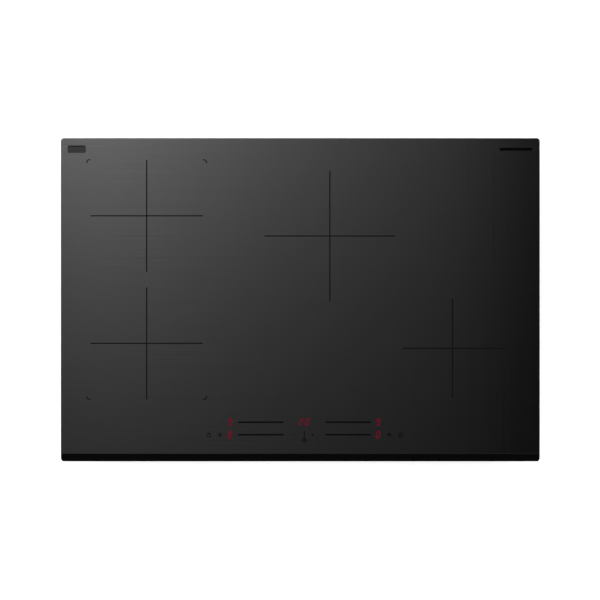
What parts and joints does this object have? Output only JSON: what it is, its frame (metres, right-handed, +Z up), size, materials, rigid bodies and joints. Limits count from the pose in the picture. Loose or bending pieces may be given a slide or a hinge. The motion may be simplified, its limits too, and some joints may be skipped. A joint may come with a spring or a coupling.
{
  "type": "induction cooktop",
  "caption": "Built-in induction cooktop: a flat glass panel with cooking zones and touch sliders over a steel tray of coils, boards and blowers.",
  "frame": {"origin": "centre of the plane where the seal rests on the worktop", "axes": "+X to the user's right, +Y away from the user to the back edge, +Z up out of the glass"},
  "size_m": [0.77, 0.52, 0.058],
  "materials": {
    "glass_ceramic": "satin printed glass-ceramic, opaque",
    "seal_foam": "closed-cell foam tape",
    "silicone": "cured adhesive bead",
    "galvanised_steel": "galvanised sheet, spangled",
    "deck_aluminium": "mill finish",
    "heatsink_aluminium": "extruded",
    "white_plastic": "moulded, flame retardant",
    "black_plastic": "moulded",
    "circuit_board": "solder resist",
    "control_circuit_board": "black solder resist",
    "touch_foam": "conductive foam",
    "display": "smoked display body",
    "ribbon": "grey flat cable",
    "litz_wire": "enamelled copper strands",
    "lead_sleeve": "silicone-glass sleeve",
    "wire_insulation": "insulated wire",
    "ferrite": "sintered ferrite",
    "mica": "mica and ceramic fibre",
    "sensor_body": "ceramic probe",
    "spring_steel": "plated spring wire",
    "transistor_body": "moulded package",
    "capacitor_body": "film and can capacitors",
    "choke": "enamelled winding on a ring core",
    "grommet_rubber": "moulded bush",
    "screw_steel": "zinc plated",
    "clamp_steel": "zinc plated strip",
    "print_ink": "ceramic ink fired on the glass",
    "lit_digit": "red light-emitting segments",
    "solder": "solder and tinned leads",
    "plated_brass": "terminal brass"
  },
  "bodies": {
    "housing": {"glass_panel": "glass_ceramic", "worktop_seal": "seal_foam", "frame_adhesive": "silicone", "side_rails": "galvanised_steel", "cross_rails": "galvanised_steel", "control_holder": "black_plastic", "control_board": "control_circuit_board", "touch_pads": "touch_foam", "digit_displays": "display", "ribbon_cables": "ribbon", "coil_deck": "deck_aluminium", "deck_pillars": "white_plastic", "coil_leads": "lead_sleeve", "board_trays": "black_plastic", "power_transistors": "transistor_body", "capacitors": "capacitor_body", "chokes": "choke", "filter_board": "circuit_board", "terminal_block": "white_plastic", "cable_grommet": "grommet_rubber", "terminal_cover": "galvanised_steel", "supply_wires": "wire_insulation", "base_tray": "galvanised_steel", "case_screws": "screw_steel", "coil_springs_rear_left": "spring_steel", "coil_springs_front_left": "spring_steel", "coil_springs_rear_centre": "spring_steel", "coil_springs_front_right": "spring_steel", "power_board_left": "circuit_board", "power_board_right": "circuit_board", "heatsink_left": "heatsink_aluminium", "heatsink_right": "heatsink_aluminium", "fan_housing_left": "black_plastic", "fan_housing_right": "black_plastic"},
    "coil_rear_left": {"coil_carrier_rear_left": "white_plastic", "coil_winding_rear_left": "litz_wire", "coil_ferrites_rear_left": "ferrite", "coil_insulator_rear_left": "mica", "temperature_sensor_rear_left": "sensor_body"},
    "coil_front_left": {"coil_carrier_front_left": "white_plastic", "coil_winding_front_left": "litz_wire", "coil_ferrites_front_left": "ferrite", "coil_insulator_front_left": "mica", "temperature_sensor_front_left": "sensor_body"},
    "coil_rear_centre": {"coil_carrier_rear_centre": "white_plastic", "coil_winding_rear_centre": "litz_wire", "coil_ferrites_rear_centre": "ferrite", "coil_insulator_rear_centre": "mica", "temperature_sensor_rear_centre": "sensor_body"},
    "coil_front_right": {"coil_carrier_front_right": "white_plastic", "coil_winding_front_right": "litz_wire", "coil_ferrites_front_right": "ferrite", "coil_insulator_front_right": "mica", "temperature_sensor_front_right": "sensor_body"},
    "fan_left": {"fan_rotor_left": "black_plastic"},
    "fan_right": {"fan_rotor_right": "black_plastic"},
    "clamp_front_left": {"fixing_clamp_front_left": "clamp_steel"},
    "clamp_rear_left": {"fixing_clamp_rear_left": "clamp_steel"},
    "clamp_front_right": {"fixing_clamp_front_right": "clamp_steel"},
    "clamp_rear_right": {"fixing_clamp_rear_right": "clamp_steel"}
  },
  "joints": [
    {"name": "coil_rear_left_float", "type": "slide", "parent": "housing", "child": "coil_rear_left", "axis": [0, 0, 1], "range_m": [-0.0025, 0], "stiffness_N_per_m": 4500, "springref_m": 0.0045, "deforming": ["coil_springs_rear_left", "coil_leads"]},
    {"name": "coil_front_left_float", "type": "slide", "parent": "housing", "child": "coil_front_left", "axis": [0, 0, 1], "range_m": [-0.0025, 0], "stiffness_N_per_m": 4500, "springref_m": 0.0045, "deforming": ["coil_springs_front_left", "coil_leads"]},
    {"name": "coil_rear_centre_float", "type": "slide", "parent": "housing", "child": "coil_rear_centre", "axis": [0, 0, 1], "range_m": [-0.0025, 0], "stiffness_N_per_m": 4500, "springref_m": 0.0045, "deforming": ["coil_springs_rear_centre", "coil_leads"]},
    {"name": "coil_front_right_float", "type": "slide", "parent": "housing", "child": "coil_front_right", "axis": [0, 0, 1], "range_m": [-0.0025, 0], "stiffness_N_per_m": 4500, "springref_m": 0.0045, "deforming": ["coil_springs_front_right", "coil_leads"]},
    {"name": "fan_left_spin", "type": "hinge", "parent": "housing", "child": "fan_left", "pos_m": [-0.215, 0.15, -0.04], "axis": [0, 0, 1], "continuous": true},
    {"name": "fan_right_spin", "type": "hinge", "parent": "housing", "child": "fan_right", "pos_m": [0.205, 0.15, -0.04], "axis": [0, 0, 1], "continuous": true},
    {"name": "clamp_front_left_slide", "type": "slide", "parent": "housing", "child": "clamp_front_left", "axis": [0, 0, 1], "range_m": [0, 0.014]},
    {"name": "clamp_rear_left_slide", "type": "slide", "parent": "housing", "child": "clamp_rear_left", "axis": [0, 0, 1], "range_m": [0, 0.014]},
    {"name": "clamp_front_right_slide", "type": "slide", "parent": "housing", "child": "clamp_front_right", "axis": [0, 0, 1], "range_m": [0, 0.014]},
    {"name": "clamp_rear_right_slide", "type": "slide", "parent": "housing", "child": "clamp_rear_right", "axis": [0, 0, 1], "range_m": [0, 0.014]}
  ]
}
